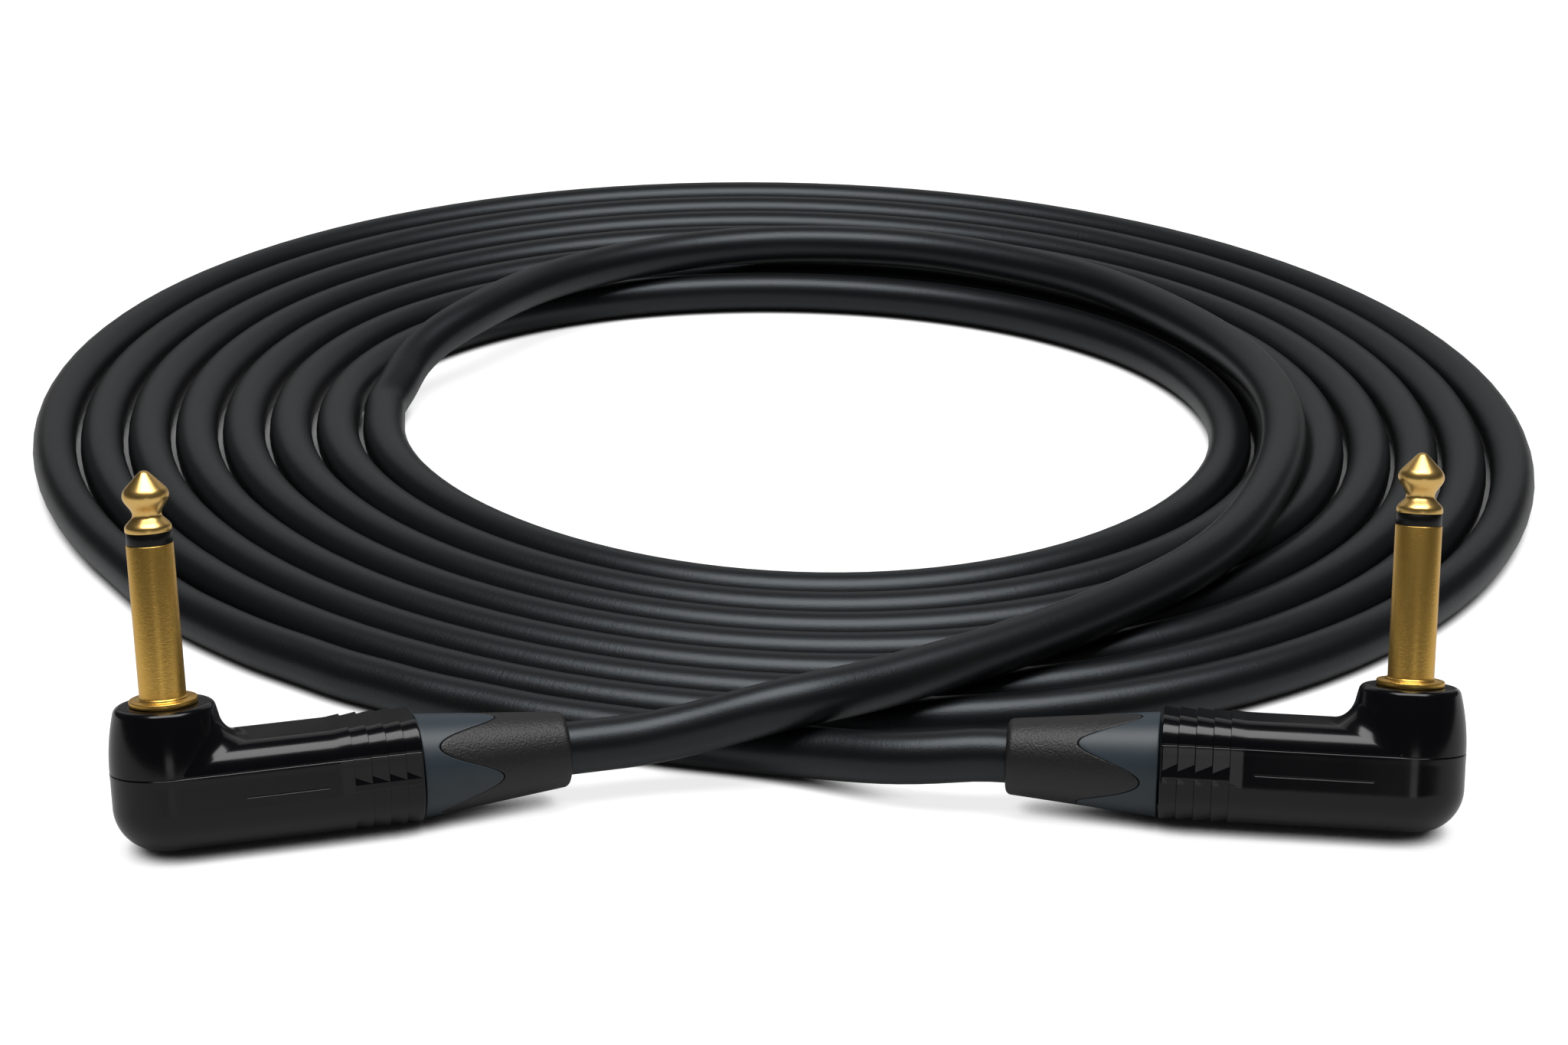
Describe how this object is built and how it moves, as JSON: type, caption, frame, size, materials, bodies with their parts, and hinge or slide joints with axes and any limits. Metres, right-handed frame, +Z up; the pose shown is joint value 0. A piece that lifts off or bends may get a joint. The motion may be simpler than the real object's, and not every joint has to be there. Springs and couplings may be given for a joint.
{
  "type": "instrument cable",
  "caption": "Coiled instrument cable with right-angle phone plugs: black shells, gold pins, slate collars and grained boots that unscrew, and a round black jacket.",
  "frame": {"origin": "on the floor, midway between the two connectors", "axes": "+X from the left connector to the right one, +Y from the connectors towards the coil, +Z up along the standing plugs"},
  "size_m": [0.2662, 0.3244, 0.0516],
  "materials": {
    "gold_tip": "polished gold plate",
    "gold_sleeve": "satin gold plate",
    "ring_black": "smooth",
    "insulator": "natural nylon",
    "nut": "nickel plate",
    "lug": "tinned brass",
    "shell": "gloss black lacquer",
    "chuck": "moulded nylon",
    "collar": "satin slate",
    "boot": "fine grained matte",
    "jacket": "satin with a fine grain",
    "core": "smooth",
    "braid": "bare copper"
  },
  "bodies": {
    "cable_assembly": {"left_plug_tip": "gold_tip", "left_ring_insulator": "ring_black", "left_rod_insulator": "insulator", "left_plug_sleeve": "gold_sleeve", "left_lock_nut": "nut", "left_ground_lug": "lug", "left_tip_lug": "lug", "left_upper_shell": "shell", "left_lower_shell": "shell", "left_jacket_end": "jacket", "left_core": "core", "left_shield_tail": "braid", "right_plug_tip": "gold_tip", "right_ring_insulator": "ring_black", "right_rod_insulator": "insulator", "right_plug_sleeve": "gold_sleeve", "right_lock_nut": "nut", "right_ground_lug": "lug", "right_tip_lug": "lug", "right_upper_shell": "shell", "right_lower_shell": "shell", "right_jacket_end": "jacket", "right_core": "core", "right_shield_tail": "braid", "lead_strand": "jacket", "cable_coil": "jacket", "crossing_strand": "jacket"},
    "left_clamp": {"left_chuck": "chuck"},
    "left_gland": {"left_collar": "collar", "left_boot": "boot"},
    "right_clamp": {"right_chuck": "chuck"},
    "right_gland": {"right_collar": "collar", "right_boot": "boot"}
  },
  "joints": [
    {"name": "left_chuck_slide", "type": "slide", "parent": "cable_assembly", "child": "left_clamp", "axis": [0.9613, 0.2756, 0], "range_m": [0, 0.005]},
    {"name": "left_gland_turn", "type": "hinge", "parent": "left_clamp", "child": "left_gland", "pos_m": [-0.0843, -0.0063, 0.00758], "axis": [0.9613, 0.2756, 0], "range_deg": [0, 1440]},
    {"name": "right_chuck_slide", "type": "slide", "parent": "cable_assembly", "child": "right_clamp", "axis": [-0.9914, 0.1305, 0], "range_m": [0, 0.005]},
    {"name": "right_gland_turn", "type": "hinge", "parent": "right_clamp", "child": "right_gland", "pos_m": [0.0843, -0.0011, 0.00771], "axis": [-0.9914, 0.1305, 0], "range_deg": [0, 1440]}
  ],
  "couplings": [
    {"joint": "left_chuck_slide", "follows": "left_gland_turn", "m_per_rad": 0.00019894},
    {"joint": "right_chuck_slide", "follows": "right_gland_turn", "m_per_rad": 0.00019894}
  ]
}
